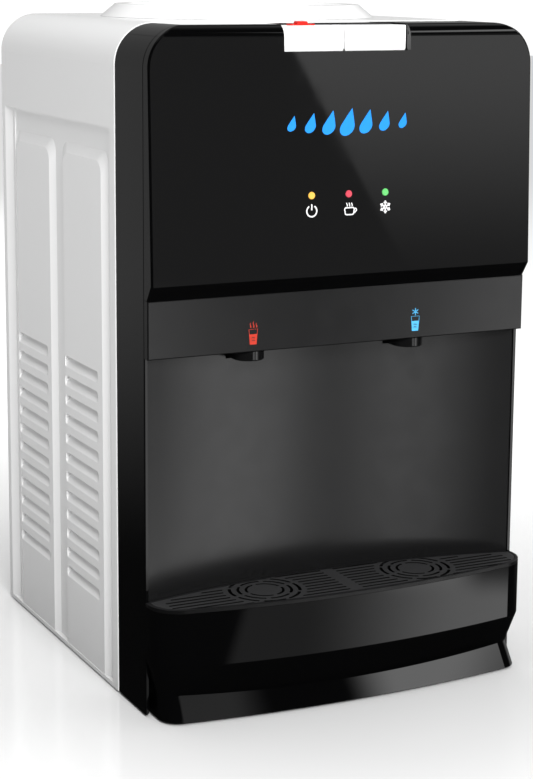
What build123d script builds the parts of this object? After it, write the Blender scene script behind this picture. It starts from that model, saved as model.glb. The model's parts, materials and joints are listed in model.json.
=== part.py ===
"""Countertop water dispenser, hot and cold, fed from a bottle on top.

Own frame in millimetres: +Z up, the front faces -Y, +X is the user's right.
The origin is the middle of the footprint, on the surface it stands on.
"""
from build123d import *
import os
from math import cos, degrees, pi, radians, sin, sqrt, tan

os.makedirs("parts", exist_ok=True)

# ---------------------------------------------------------------- driving sizes
WIDTH = 310.0
DEPTH = 349.0
CABINET_TOP_Z = 498.0
COLLAR_TOP_Z = 508.0
CORNER_R = 30.0
SKIRT_Z = 2.0  # casings stop this far above the surface
GAP = 0.3  # clearance between neighbouring casings

HALF = WIDTH / 2
REAR_Y = DEPTH / 2
TRAY_FRONT_Y = -DEPTH / 2

# Depths below are set back from the foremost line of the front panel.
FACE_Y = TRAY_FRONT_Y + 26.0
BAND_Y = FACE_Y + 7.4
FRAME_FRONT_Y = FACE_Y + 14.2
SHELL_FRONT_Y = FACE_Y + 67.0
SPLASH_APEX_Y = FACE_Y + 34.5

# Front frame, a black hoop a little smaller than the white cabinet.
FRAME_HALF = 154.5
FRAME_TOP_Z = 497.5
FRAME_R = 29.5
FRAME_INNER_HALF = 152.0
FRAME_INNER_TOP_Z = 495.0

# Front panel and spout band.
PANEL_LOW_Z = 307.4
PANEL_CHIN_Z = 318.0
PANEL_LEAN = 5.5
NOTCH_Z = 478.5
PANEL_BROW_Z = 488.5
NOTCH_HALF = 51.0
PANEL_WALL = 2.8
BAND_LOW_Z = 265.3
BAND_WALL = 2.5

# Buttons.
BUTTON_FACE_Y = FACE_Y + 12.0
BUTTON_DEPTH = 22.0
BUTTON_W = 50.0
BUTTON_TOP_Z = 496.3
BUTTON_X = 25.4
ROD_Y = FACE_Y + 25.5
ROD_R = 3.0
DECK_Z = 443.0
SPRING_TOP_Z = 468.0

# Indicator lamps.
LAMP_Z = 376.5
LAMP_PITCH = 30.0
LAMP_R = 2.7

# Spouts, one for hot (left) and one for cold (right).
SPOUT_R = 11.5
SPOUT_Y = FACE_Y + 20.0
SPOUT_LOW_Z = 258.0
HOT_X = -71.0
COLD_X = 61.0
INLET_Z = 301.0

# Drip area in plan.
TRAY_HALF = 154.3
FRONT_ARC_R = 744.0
SPLASH_R = 617.0
TRAY_CORNER_R = 24.0
TRAY_TOP_Z = 87.0
PLINTH_TOP_Z = 84.0
UNDERCUT_Z = 44.0
RING_X = 63.5
RING_Y = FACE_Y + 5.5

# Bottle seat and cold tank share one upright axis.
TANK_Y = 46.0
TANK_R = 80.0
TANK_LOW_Z = 300.0
TANK_TOP_Z = 470.0
FOAM_R = 104.0
FOAM_LOW_Z = 284.0
COLLAR_BASE_R = 108.5
COLLAR_TOP_R = 98.5

# Hot tank.
BOILER_X = -80.0
BOILER_Y = 50.0
BOILER_R = 45.0
BOILER_LOW_Z = 62.0
BOILER_TOP_Z = 222.0
JACKET_R = 55.0

# Compressor.
PUMP_X = 55.0
PUMP_Y = 84.0
PUMP_R = 58.0

# Rear.
BACK_Y = 150.5
BACK_WALL = 1.2
COIL_Y = 162.0
SWITCH_Z = 445.0
SWITCH_X = (88.0, 116.0)
SWITCH_TILT = 8.0
DRAIN_X = -80.0
DRAIN_Z = 74.0
NIPPLE_R = 5.0
HOSE_R = 7.0
HOSE_BORE_R = NIPPLE_R + 0.1
GLAND_X = -120.0
GLAND_Z = 30.0
CORD_R = 4.0


# ---------------------------------------------------------------- shared shapes
def block(x_span, y_span, z_span, mode=Mode.ADD):
    """Box between two corners, given as (low, high) along each axis."""
    centre = [(low + high) / 2 for low, high in (x_span, y_span, z_span)]
    size = [high - low for low, high in (x_span, y_span, z_span)]
    with Locations(tuple(centre)):
        Box(*size, mode=mode)


def post(x, y, radius, z_span, mode=Mode.ADD):
    """Upright cylinder."""
    with Locations((x, y, sum(z_span) / 2)):
        Cylinder(radius, z_span[1] - z_span[0], mode=mode)


def pin(x, z, radius, y_span, mode=Mode.ADD):
    """Cylinder along Y."""
    with Locations(Location((x, sum(y_span) / 2, z), (90, 0, 0))):
        Cylinder(radius, y_span[1] - y_span[0], mode=mode)


def arch(half, top, radius, y, bottom=SKIRT_Z):
    """Cabinet section at depth y: flat sides and base, two round top corners."""
    with BuildSketch(Plane.XZ.offset(-y)) as section:
        with Locations((0, (bottom + top) / 2)):
            Rectangle(2 * half, top - bottom)
        fillet(section.vertices().group_by(Axis.Y)[-1], radius)
    return section.sketch


def drip_plan(inset, z):
    """Drip area in plan: shallow front arc, round front corners, bowed back."""
    with BuildSketch(Plane.XY.offset(z)) as plan:
        with Locations((0, TRAY_FRONT_Y + FRONT_ARC_R)):
            Circle(FRONT_ARC_R)
        with Locations((0, SPLASH_APEX_Y - GAP - SPLASH_R)):
            Circle(SPLASH_R, mode=Mode.INTERSECT)
        with Locations((0, TRAY_FRONT_Y)):
            Rectangle(2 * TRAY_HALF, 2 * DEPTH, mode=Mode.INTERSECT)
        fillet(plan.vertices().group_by(Axis.Y)[0], TRAY_CORNER_R - 1)
        if inset:
            offset(amount=-inset)
    return plan.sketch


def plinth_plan(front_y, arc_r, half, corner_r, z, back_y=-90.0):
    """Plinth in plan: bowed front, round front corners, straight back."""
    with BuildSketch(Plane.XY.offset(z)) as plan:
        with Locations((0, front_y + arc_r)):
            Circle(arc_r)
        with Locations((0, back_y - DEPTH / 2)):
            Rectangle(2 * half, DEPTH, mode=Mode.INTERSECT)
        fillet(plan.vertices().group_by(Axis.Y)[0], corner_r)
    return plan.sketch


def hose_route(points):
    """Straight runs joined by tangent arcs as large as the runs allow."""
    corners = [Vector(*point) for point in points]
    radii = []
    for before, here, after in zip(corners, corners[1:], corners[2:]):
        turn = radians((here - before).get_angle(after - here))
        run = min((here - before).length, (after - here).length)
        radii.append(0.45 * run / tan(turn / 2))
    print("hose radii", [round(radius, 1) for radius in radii])
    with BuildLine(mode=Mode.PRIVATE) as route:
        FilletPolyline(*corners, radius=radii)
    return route.line


# ---------------------------------------------------------------- white cabinet
RECESS_TOP_Z = 423.3
RECESS_X = HALF - 3.5
LINER_X = RECESS_X - 3.2
PANEL_FACE_X = HALF - 0.4
SIDE_PANELS = ((FACE_Y + 88, FACE_Y + 185), (FACE_Y + 200, FACE_Y + 295))
LOUVRE_COUNT = 12
LOUVRE_PITCH = 15.4
LOUVRE_TOP_Z = 239.0
LOUVRE_H = 8.8
LOUVRE_LEN = 71.0

with BuildPart(mode=Mode.PRIVATE) as louvre:
    # Pocket that deepens upwards to a slit through the wall; built at z = 0.
    with BuildSketch(Plane.XZ.offset(LOUVRE_LEN / 2)):
        with BuildLine():
            Polyline(
                (PANEL_FACE_X + 2, 0.0),
                (PANEL_FACE_X, 0.0),
                (PANEL_FACE_X - 4.4, LOUVRE_H - 1.9),
                (LINER_X - 2, LOUVRE_H - 1.9),
                (LINER_X - 2, LOUVRE_H),
                (PANEL_FACE_X + 2, LOUVRE_H),
                close=True,
            )
        make_face()
    extrude(amount=-LOUVRE_LEN)
    with BuildSketch(Plane.YZ.offset(LINER_X - 3)):
        with Locations((0, LOUVRE_H / 2)):
            RectangleRounded(LOUVRE_LEN, LOUVRE_H, 3.2)
    extrude(amount=20, mode=Mode.INTERSECT)

LOUVRE_SPOTS = [
    (0, (start + end) / 2 + 4.5, LOUVRE_TOP_Z - LOUVRE_H - step * LOUVRE_PITCH)
    for start, end in SIDE_PANELS
    for step in range(LOUVRE_COUNT)
]
BACK_SCREWS = [(side * 142.5, z) for side in (-1, 1) for z in (30, 150, 270, 390)]
BACK_SCREWS += [(side * 60.0, 487.0) for side in (-1, 1)]

with BuildPart() as cabinet_shell:
    extrude(arch(HALF, CABINET_TOP_Z, CORNER_R, REAR_Y), amount=REAR_Y - SHELL_FRONT_Y)
    rear_edges = cabinet_shell.faces().sort_by(Axis.Y)[-1].edges().sort_by(Axis.Z)[1:]
    fillet(rear_edges, 4.0)
    mouth_edges = cabinet_shell.faces().sort_by(Axis.Y)[0].edges().sort_by(Axis.Z)[1:]
    fillet(mouth_edges, 0.8)
    extrude(
        arch(HALF - 3, CABINET_TOP_Z - 3, CORNER_R - 3, REAR_Y + 1, bottom=-1),
        amount=REAR_Y - SHELL_FRONT_Y + 2,
        mode=Mode.SUBTRACT,
    )
    for side in (-1, 1):
        # The wall steps inwards behind the long side recess.
        liner = sorted((side * LINER_X, side * (HALF - 2)))
        block(liner, (SHELL_FRONT_Y + 8, REAR_Y - 7.5), (SKIRT_Z, RECESS_TOP_Z + 6))
        with BuildSketch(Plane.XY.offset(SKIRT_Z + 3)):
            with BuildLine():
                Polyline(
                    (side * (HALF + 1), FACE_Y + 76.8),
                    (side * RECESS_X, FACE_Y + 79.0),
                    (side * RECESS_X, FACE_Y + 303.0),
                    (side * (HALF + 1), FACE_Y + 315.5),
                    close=True,
                )
            make_face()
        extrude(amount=RECESS_TOP_Z - SKIRT_Z - 3, mode=Mode.SUBTRACT)
        for start, end in SIDE_PANELS:
            # Raised flat panel with sloping edges and round upper corners.
            for x, slope in ((RECESS_X - 0.5, -1.0), (PANEL_FACE_X, 8.0)):
                with BuildSketch(Plane.YZ.offset(side * x)) as outline:
                    with Locations(((start + end) / 2, (SKIRT_Z + 405 - slope) / 2)):
                        Rectangle(end - start - 2 * slope, 405 - slope - SKIRT_Z)
                    fillet(outline.vertices().group_by(Axis.Y)[-1], 10.0)
            loft(ruled=True)
    # Top opening for the bottle seat, then the inner flange for the back panel.
    post(0, TANK_Y, 99.7, (CABINET_TOP_Z - 20, CABINET_TOP_Z + 20), mode=Mode.SUBTRACT)
    extrude(arch(HALF - 2.8, CABINET_TOP_Z - 2.8, CORNER_R - 2.8, BACK_Y - GAP), amount=2.5)

with BuildPart(mode=Mode.PRIVATE) as rear_opening:
    extrude(arch(136.0, 482.0, 16.0, BACK_Y + 1, bottom=-1), amount=6)

with BuildPart() as cabinet:
    add(cabinet_shell.part)
    add(rear_opening.part, mode=Mode.SUBTRACT)
    for x, z in BACK_SCREWS:
        pin(x, z, 1.8, (BACK_Y - 4, BACK_Y + 1), mode=Mode.SUBTRACT)
    with Locations(*LOUVRE_SPOTS):
        add(louvre.part, mode=Mode.SUBTRACT)
    with Locations(*[Location((x, y, z), (0, 0, 180)) for x, y, z in LOUVRE_SPOTS]):
        add(louvre.part, mode=Mode.SUBTRACT)
cabinet.part.label = "cabinet_shell"
export_step(cabinet.part, "parts/cabinet_shell.step")

# ---------------------------------------------------------------- front frame
LIP_HALF = 151.6
LIP_TOP_Z = 494.6
LIP_R = 26.6
LIP_WALL = 2.0
FRAME_BACK_Y = SHELL_FRONT_Y - GAP
with BuildPart() as front_frame:
    extrude(
        arch(FRAME_HALF, FRAME_TOP_Z, FRAME_R, FRAME_BACK_Y),
        amount=FRAME_BACK_Y - FRAME_FRONT_Y,
    )
    front_edges = front_frame.faces().sort_by(Axis.Y)[0].edges().sort_by(Axis.Z)[1:]
    fillet(front_edges, 0.8)
    extrude(
        arch(FRAME_INNER_HALF, FRAME_INNER_TOP_Z, FRAME_R - 2.5, SHELL_FRONT_Y, bottom=-1),
        amount=SHELL_FRONT_Y - FRAME_FRONT_Y + 1,
        mode=Mode.SUBTRACT,
    )
    # Locating lip that slips inside the cabinet.
    root = arch(FRAME_INNER_HALF + 0.2, FRAME_INNER_TOP_Z + 0.2, FRAME_R - 2.3, FRAME_BACK_Y)
    extrude(root, amount=8)
    extrude(arch(LIP_HALF, LIP_TOP_Z, LIP_R, SHELL_FRONT_Y + 5.5), amount=8)
    bore = arch(
        LIP_HALF - LIP_WALL, LIP_TOP_Z - LIP_WALL, LIP_R - LIP_WALL, SHELL_FRONT_Y + 6, bottom=-1
    )
    extrude(bore, amount=20, mode=Mode.SUBTRACT)
    # Finger notch over the buttons.
    block(
        (-NOTCH_HALF - 1, NOTCH_HALF + 1),
        (FRAME_FRONT_Y - 2, BUTTON_FACE_Y + BUTTON_DEPTH + 1),
        (485, 500),
        mode=Mode.SUBTRACT,
    )
front_frame.part.label = "front_frame"
export_step(front_frame.part, "parts/front_frame.step")


# ---------------------------------------------------------------- front panel
def panel_profile(inset, back_y):
    """Side view of the front panel, set in from its outer faces by inset."""
    low_z = PANEL_LOW_Z + inset
    with BuildSketch(Plane.YZ.offset(-HALF)) as side_view:
        with BuildLine():
            chin = (FACE_Y + inset, PANEL_CHIN_Z + inset / 3)
            brow = (FACE_Y + PANEL_LEAN + inset, PANEL_BROW_Z)
            Polyline((back_y, low_z), (BAND_Y + inset * 0.8, low_z), chin, brow)
            TangentArc(
                brow,
                (FRAME_FRONT_Y - GAP, FRAME_TOP_Z - inset),
                tangent=(PANEL_LEAN, PANEL_BROW_Z - PANEL_CHIN_Z),
            )
            Line((FRAME_FRONT_Y - GAP, FRAME_TOP_Z - inset), (back_y, FRAME_TOP_Z - inset))
            Line((back_y, FRAME_TOP_Z - inset), (back_y, low_z))
        make_face()
    return side_view.sketch


with BuildPart(mode=Mode.PRIVATE) as panel_hollow:
    extrude(panel_profile(PANEL_WALL, FRAME_FRONT_Y + 1), amount=WIDTH)
    hollow_half = FRAME_HALF - PANEL_WALL
    extrude(
        arch(hollow_half, FRAME_TOP_Z - PANEL_WALL, FRAME_R - PANEL_WALL, 0),
        amount=DEPTH,
        mode=Mode.INTERSECT,
    )

with BuildPart() as front_panel:
    extrude(panel_profile(0, FRAME_FRONT_Y - GAP + 0.001), amount=WIDTH)
    extrude(
        arch(FRAME_HALF, FRAME_TOP_Z, FRAME_R, 0, bottom=PANEL_LOW_Z),
        amount=DEPTH,
        mode=Mode.INTERSECT,
    )
    side_edges = front_panel.edges().filter_by(
        lambda edge: abs(abs(edge.center().X) - FRAME_HALF) < 0.1
        and abs(edge.center().Y - FACE_Y - PANEL_LEAN / 2) < 1
    )
    fillet(side_edges, 1.5)
    add(panel_hollow.part, mode=Mode.SUBTRACT)
    # Cheeks and floor of the button notch, then the notch itself.
    for side in (-1, 1):
        cheek = sorted((side * NOTCH_HALF, side * (NOTCH_HALF + 2.5)))
        block(cheek, (FACE_Y + 7, FRAME_FRONT_Y - GAP), (NOTCH_Z - 2.5, PANEL_BROW_Z + 1))
        block(cheek, (FACE_Y + 10, FRAME_FRONT_Y - GAP), (PANEL_BROW_Z, FRAME_TOP_Z - 2))
    block(
        (-NOTCH_HALF - 2, NOTCH_HALF + 2),
        (FACE_Y + 8, BUTTON_FACE_Y - 0.5),
        (NOTCH_Z - 2.5, NOTCH_Z),
    )
    block((-NOTCH_HALF, NOTCH_HALF), (FACE_Y - 5, FACE_Y + 20), (NOTCH_Z, 520), mode=Mode.SUBTRACT)
    for x in (-LAMP_PITCH, 0, LAMP_PITCH):
        pin(x, LAMP_Z, LAMP_R + 0.1, (FACE_Y - 5, FACE_Y + 8), mode=Mode.SUBTRACT)
front_panel.part.label = "front_panel"
export_step(front_panel.part, "parts/front_panel.step")

# ---------------------------------------------------------------- indicator lamps
for name, x in (("power_lens", -LAMP_PITCH), ("heat_lens", 0.0), ("cool_lens", LAMP_PITCH)):
    with BuildPart() as lens:
        pin(x, LAMP_Z, LAMP_R, (FACE_Y + 1.3, FACE_Y + 7.9))
        fillet(lens.edges().group_by(Axis.Y)[0], 0.8)
        pin(x, LAMP_Z, 4.0, (FACE_Y + 5.5, FACE_Y + 7.9))
    lens.part.label = name
    export_step(lens.part, f"parts/{name}.step")

with BuildPart() as indicator_board:
    block((-45, 45), (FACE_Y + 8, FACE_Y + 9.6), (LAMP_Z - 11, LAMP_Z + 11))
    block((-44, -34), (FACE_Y + 9.6, FACE_Y + 15), (LAMP_Z - 8, LAMP_Z + 8))
    for x in (-LAMP_PITCH + 8, 8, LAMP_PITCH + 4):
        block((x, x + 5), (FACE_Y + 9.6, FACE_Y + 11), (LAMP_Z - 3, LAMP_Z))
indicator_board.part.label = "indicator_board"
export_step(indicator_board.part, "parts/indicator_board.step")

# ---------------------------------------------------------------- spout band
with BuildPart() as spout_band:
    block((-FRAME_HALF, FRAME_HALF), (BAND_Y, FRAME_FRONT_Y - GAP), (BAND_LOW_Z, PANEL_LOW_Z - GAP))
    front_edges = spout_band.faces().sort_by(Axis.Y)[0].edges()
    fillet(front_edges, 0.8)
    hollow = FRAME_HALF - BAND_WALL
    block((-hollow, hollow), (BAND_Y + BAND_WALL, REAR_Y), (BAND_LOW_Z - 5, 400), mode=Mode.SUBTRACT)
    # Floor that closes the recess from above, with a hole for each spout neck.
    with BuildSketch(Plane.XY.offset(BAND_LOW_Z)):
        with Locations((0, SPLASH_APEX_Y + BAND_WALL - SPLASH_R)):
            Circle(SPLASH_R)
        with Locations((0, BAND_Y + 1.5 + DEPTH / 2)):
            Rectangle(2 * hollow + 0.5, DEPTH, mode=Mode.INTERSECT)
        with Locations((HOT_X, ROD_Y), (COLD_X, ROD_Y)):
            Circle(8.3, mode=Mode.SUBTRACT)
    extrude(amount=BAND_WALL)
    for x in (-120, -25, 20, 120):
        block((x, x + 2), (BAND_Y + 2, BAND_Y + 16), (BAND_LOW_Z + 2, PANEL_LOW_Z - 6))
    for side in (-1, 1):
        # The floor stays between the frame's side walls.
        wall = sorted((side * (FRAME_INNER_HALF - GAP), side * HALF))
        block(wall, (FRAME_FRONT_Y - GAP, 0), (200, 400), mode=Mode.SUBTRACT)
spout_band.part.label = "spout_band"
export_step(spout_band.part, "parts/spout_band.step")

# ---------------------------------------------------------------- backsplash
SPLASH_TOP_Z = BAND_LOW_Z - GAP
with BuildPart() as backsplash:
    with BuildSketch(Plane.XY.offset(PLINTH_TOP_Z)):
        with Locations((0, SPLASH_APEX_Y - SPLASH_R)):
            Circle(SPLASH_R + BAND_WALL)
            Circle(SPLASH_R, mode=Mode.SUBTRACT)
        with Locations((0, FACE_Y + 50)):
            Rectangle(2 * (FRAME_INNER_HALF - GAP), 90, mode=Mode.INTERSECT)
    extrude(amount=SPLASH_TOP_Z - PLINTH_TOP_Z)
    for x in (HOT_X, COLD_X):
        block((x - 14, x + 13), (FACE_Y, 0), (SPOUT_LOW_Z - 0.5, 300), mode=Mode.SUBTRACT)
backsplash.part.label = "backsplash"
export_step(backsplash.part, "parts/backsplash.step")

# ---------------------------------------------------------------- inner bulkhead
BULKHEAD_Y = FACE_Y + 42.0
with BuildPart() as front_bulkhead:
    block((-149, 149), (BULKHEAD_Y, BULKHEAD_Y + 2.5), (PLINTH_TOP_Z, 470))
    block((-62, 62), (FRAME_FRONT_Y + 4, BULKHEAD_Y + 1), (DECK_Z - 3, DECK_Z))
    for side in (-1, 1):
        block(sorted((side * 58, side * 61)), (ROD_Y - 8, BULKHEAD_Y + 1), (DECK_Z - 25, DECK_Z))
        post(side * BUTTON_X, ROD_Y, ROD_R + 0.4, (DECK_Z - 4, DECK_Z + 1), mode=Mode.SUBTRACT)
    for x in (HOT_X, COLD_X):
        pin(x, INLET_Z, 8.0, (BULKHEAD_Y - 2, BULKHEAD_Y + 4), mode=Mode.SUBTRACT)
front_bulkhead.part.label = "front_bulkhead"
export_step(front_bulkhead.part, "parts/front_bulkhead.step")

# ---------------------------------------------------------------- plinth
FOOT_TOP_Z = 46.0
WELL_FLOOR_Z = 50.0
SIDE_HALF = FRAME_INNER_HALF - GAP
with BuildPart() as base_plinth:
    upper = plinth_plan(TRAY_FRONT_Y, FRONT_ARC_R, TRAY_HALF, TRAY_CORNER_R - 1, UNDERCUT_Z)
    extrude(upper, amount=PLINTH_TOP_Z - UNDERCUT_Z)
    add(upper)
    add(plinth_plan(TRAY_FRONT_Y + 18.5, FRONT_ARC_R - 18.5, TRAY_HALF - 9.5, 12.0, SKIRT_Z))
    loft(ruled=True)
    # Flared foot under the slanting undercut.
    add(plinth_plan(FACE_Y - 22.0, 989.0, SIDE_HALF - 2.4, 16.0, SKIRT_Z))
    add(plinth_plan(FACE_Y + 4.0, 1000.0, SIDE_HALF - 6.0, 15.0, FOOT_TOP_Z))
    loft(ruled=True)
    for side in (-1, 1):
        # Behind the frame's front edge the plinth slips inside the hoop.
        shoulder = sorted((side * SIDE_HALF, side * HALF))
        block(shoulder, (FRAME_FRONT_Y - GAP, 0), (0, PLINTH_TOP_Z + 1), mode=Mode.SUBTRACT)
    # Well for the drip tray, then the hollow under its floor.
    well = drip_plan(3.5, PLINTH_TOP_Z + 1)
    extrude(well, amount=WELL_FLOOR_Z - PLINTH_TOP_Z - 1, mode=Mode.SUBTRACT)
    under = plinth_plan(TRAY_FRONT_Y + 16, FRONT_ARC_R, TRAY_HALF - 12, 12, 0, back_y=-80)
    extrude(under, amount=WELL_FLOOR_Z - 3, mode=Mode.SUBTRACT)
base_plinth.part.label = "base_plinth"
export_step(base_plinth.part, "parts/base_plinth.step")

# ---------------------------------------------------------------- drip tray
FLANGE_Z = PLINTH_TOP_Z + 0.2
LEDGE_Z = FLANGE_Z + 1.6
TRAY_FLOOR_Z = 57.0
with BuildPart() as drip_tray:
    extrude(drip_plan(0, FLANGE_Z), amount=TRAY_TOP_Z - FLANGE_Z)
    for side in (-1, 1):
        corner = sorted((side * SIDE_HALF, side * HALF))
        block(corner, (FRAME_FRONT_Y - GAP, 0), (FLANGE_Z - 1, TRAY_TOP_Z + 1), mode=Mode.SUBTRACT)
    fillet(drip_tray.edges().group_by(Axis.Z)[-1], 0.5)
    extrude(drip_plan(2.4, LEDGE_Z), amount=5, mode=Mode.SUBTRACT)
    extrude(drip_plan(4.5, TRAY_FLOOR_Z - 2), amount=LEDGE_Z - TRAY_FLOOR_Z + 2)
    extrude(drip_plan(6.5, TRAY_FLOOR_Z), amount=40, mode=Mode.SUBTRACT)
drip_tray.part.label = "drip_tray"
export_step(drip_tray.part, "parts/drip_tray.step")

# ---------------------------------------------------------------- drip grille
SLOT_W = 2.2
SLOT_PITCH = 6.0
RING_CLEAR_R = 31.0
RINGS = ((26.0, 2.4, 8), (19.8, 2.2, 6), (13.8, 2.0, 4))


def row_reach(y, margin):
    """Half length of a straight slot row that stays inside the drip area."""
    front = sqrt(FRONT_ARC_R**2 - (TRAY_FRONT_Y + FRONT_ARC_R - y - margin) ** 2)
    rise = y + margin - (SPLASH_APEX_Y - SPLASH_R)
    back = sqrt(max(SPLASH_R**2 - rise**2, 0.0))
    return min(front, back, TRAY_HALF) - 12.0


def slot_spans(y):
    """Left and right ends of each straight slot in the right half of a row."""
    reach = row_reach(y, 5.0)
    off = abs(y - RING_Y)
    chord = sqrt(RING_CLEAR_R**2 - off**2) if off < RING_CLEAR_R else 0.0
    spans = [(5.0, RING_X - chord), (RING_X + chord, reach)]
    if not chord:
        spans = [(5.0, reach)]
    return [(start, end) for start, end in spans if end - start > 6.0]


with BuildPart() as drip_grille:
    extrude(drip_plan(2.8, LEDGE_Z + 0.2), amount=TRAY_TOP_Z - LEDGE_Z - 0.2)
    chamfer(drip_grille.edges().group_by(Axis.Z)[-1], 0.25)
    extrude(drip_plan(7.0, LEDGE_Z - 2), amount=3)
    with BuildSketch(Plane.XY.offset(LEDGE_Z - 3)):
        for row in range(-4, 5):
            y = RING_Y + row * SLOT_PITCH
            for start, end in slot_spans(y):
                with Locations(((start + end) / 2, y), (-(start + end) / 2, y)):
                    SlotOverall(end - start, SLOT_W)
        for side in (-1, 1):
            for radius, width, count in RINGS:
                span = 360.0 / count - degrees(5.0 / radius)
                for step in range(count):
                    start = 20.0 + step * 360.0 / count
                    with BuildLine(mode=Mode.PRIVATE) as ring_arc:
                        CenterArc((side * RING_X, RING_Y), radius, start, span)
                    SlotArc(ring_arc.edge(), width)
    extrude(amount=10, mode=Mode.SUBTRACT)
drip_grille.part.label = "drip_grille"
export_step(drip_grille.part, "parts/drip_grille.step")

# ---------------------------------------------------------------- buttons
BUTTON_WALL = 2.0
BUTTON_BACK_Y = BUTTON_FACE_Y + BUTTON_DEPTH
BUTTON_SPAN_Y = (BUTTON_FACE_Y, BUTTON_BACK_Y)
LOCK_X = -31.5
LOCK_Y = BUTTON_FACE_Y + 7.0
LOCK_TRAVEL = 6.0
for name, side in (("hot_button", -1), ("cold_button", 1)):
    x = side * BUTTON_X
    wide = (x - BUTTON_W / 2, x + BUTTON_W / 2)
    with BuildPart() as button:
        block(wide, BUTTON_SPAN_Y, (NOTCH_Z + 0.8, BUTTON_TOP_Z))
        fillet(button.edges().group_by(Axis.Z)[-1], 1.0)
        # The front wall runs on down behind the panel, so no gap opens below it.
        block((wide[0] + 0.5, wide[1] - 0.5), (BUTTON_FACE_Y, BUTTON_FACE_Y + 2), (466, NOTCH_Z + 2))
        block(
            (wide[0] + BUTTON_WALL, wide[1] - BUTTON_WALL),
            (BUTTON_FACE_Y + BUTTON_WALL, BUTTON_BACK_Y - BUTTON_WALL),
            (460, BUTTON_TOP_Z - BUTTON_WALL),
            mode=Mode.SUBTRACT,
        )
        post(x, ROD_Y, 7.5, (SPRING_TOP_Z, BUTTON_TOP_Z - 1))
        post(x, ROD_Y, ROD_R + 0.05, (SPRING_TOP_Z - 1, SPRING_TOP_Z + 16), mode=Mode.SUBTRACT)
        if side < 0:
            # Slot in the top that the child lock slides in.
            block(
                (LOCK_X - LOCK_TRAVEL - 4.3, LOCK_X + 4.3),
                (LOCK_Y - 1.8, LOCK_Y + 1.8),
                (BUTTON_TOP_Z - 5, BUTTON_TOP_Z + 5),
                mode=Mode.SUBTRACT,
            )
            block(
                (LOCK_X - LOCK_TRAVEL - 6, LOCK_X + 6),
                (LOCK_Y - 4, LOCK_Y + 4),
                (BUTTON_TOP_Z - 5.2, BUTTON_TOP_Z - BUTTON_WALL),
                mode=Mode.SUBTRACT,
            )
    button.part.label = name
    export_step(button.part, f"parts/{name}.step")

with BuildPart() as child_lock:
    # Thumb piece on top, neck through the slot, foot underneath.
    plate_z = (BUTTON_TOP_Z + 0.1, BUTTON_TOP_Z + 1.1)
    block((LOCK_X - 10, LOCK_X + 10), (LOCK_Y - 4, LOCK_Y + 4), plate_z)
    fillet(child_lock.edges().filter_by(Axis.Z), 2.0)
    knob_z = (BUTTON_TOP_Z + 1, BUTTON_TOP_Z + 3.0)
    block((LOCK_X - 4, LOCK_X + 4), (LOCK_Y - 3, LOCK_Y + 3), knob_z)
    fillet(child_lock.edges().group_by(Axis.Z)[-1], 0.8)
    block((LOCK_X - 4, LOCK_X + 4), (LOCK_Y - 1.5, LOCK_Y + 1.5), (BUTTON_TOP_Z - 3.6, BUTTON_TOP_Z + 1))
    block((LOCK_X - 5, LOCK_X + 5), (LOCK_Y - 3.4, LOCK_Y + 3.4), (BUTTON_TOP_Z - 4.6, BUTTON_TOP_Z - 2.3))
child_lock.part.label = "child_lock"
export_step(child_lock.part, "parts/child_lock.step")

# ---------------------------------------------------------------- push links and springs
ARM_Z = (350.0, 356.0)
STEM_TOP_Z = 326.0
for name, side, spout_x in (("hot", -1, HOT_X), ("cold", 1, COLD_X)):
    x = side * BUTTON_X
    with BuildPart() as link:
        post(x, ROD_Y, ROD_R, (ARM_Z[0] + 1, SPRING_TOP_Z + 16))
        block(sorted((x - side * 4, spout_x + side * 4)), (ROD_Y - 3, ROD_Y + 3), ARM_Z)
        fillet(link.edges().filter_by(Axis.Y), 1.5)
        post(spout_x, ROD_Y, ROD_R, (STEM_TOP_Z, ARM_Z[1] - 1))
    link.part.label = f"{name}_push_link"
    export_step(link.part, f"parts/{name}_push_link.step")

    with BuildPart() as spring:
        with BuildLine():
            Helix(4.0, SPRING_TOP_Z - DECK_Z - 1.4, 5.2, center=(x, ROD_Y, DECK_Z + 0.7))
        with BuildSketch(Plane(origin=(x + 5.2, ROD_Y, DECK_Z + 0.7), z_dir=(0, 1, 0))):
            Circle(0.6)
        sweep(is_frenet=True)
    spring.part.label = f"{name}_return_spring"
    export_step(spring.part, f"parts/{name}_return_spring.step")

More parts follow.
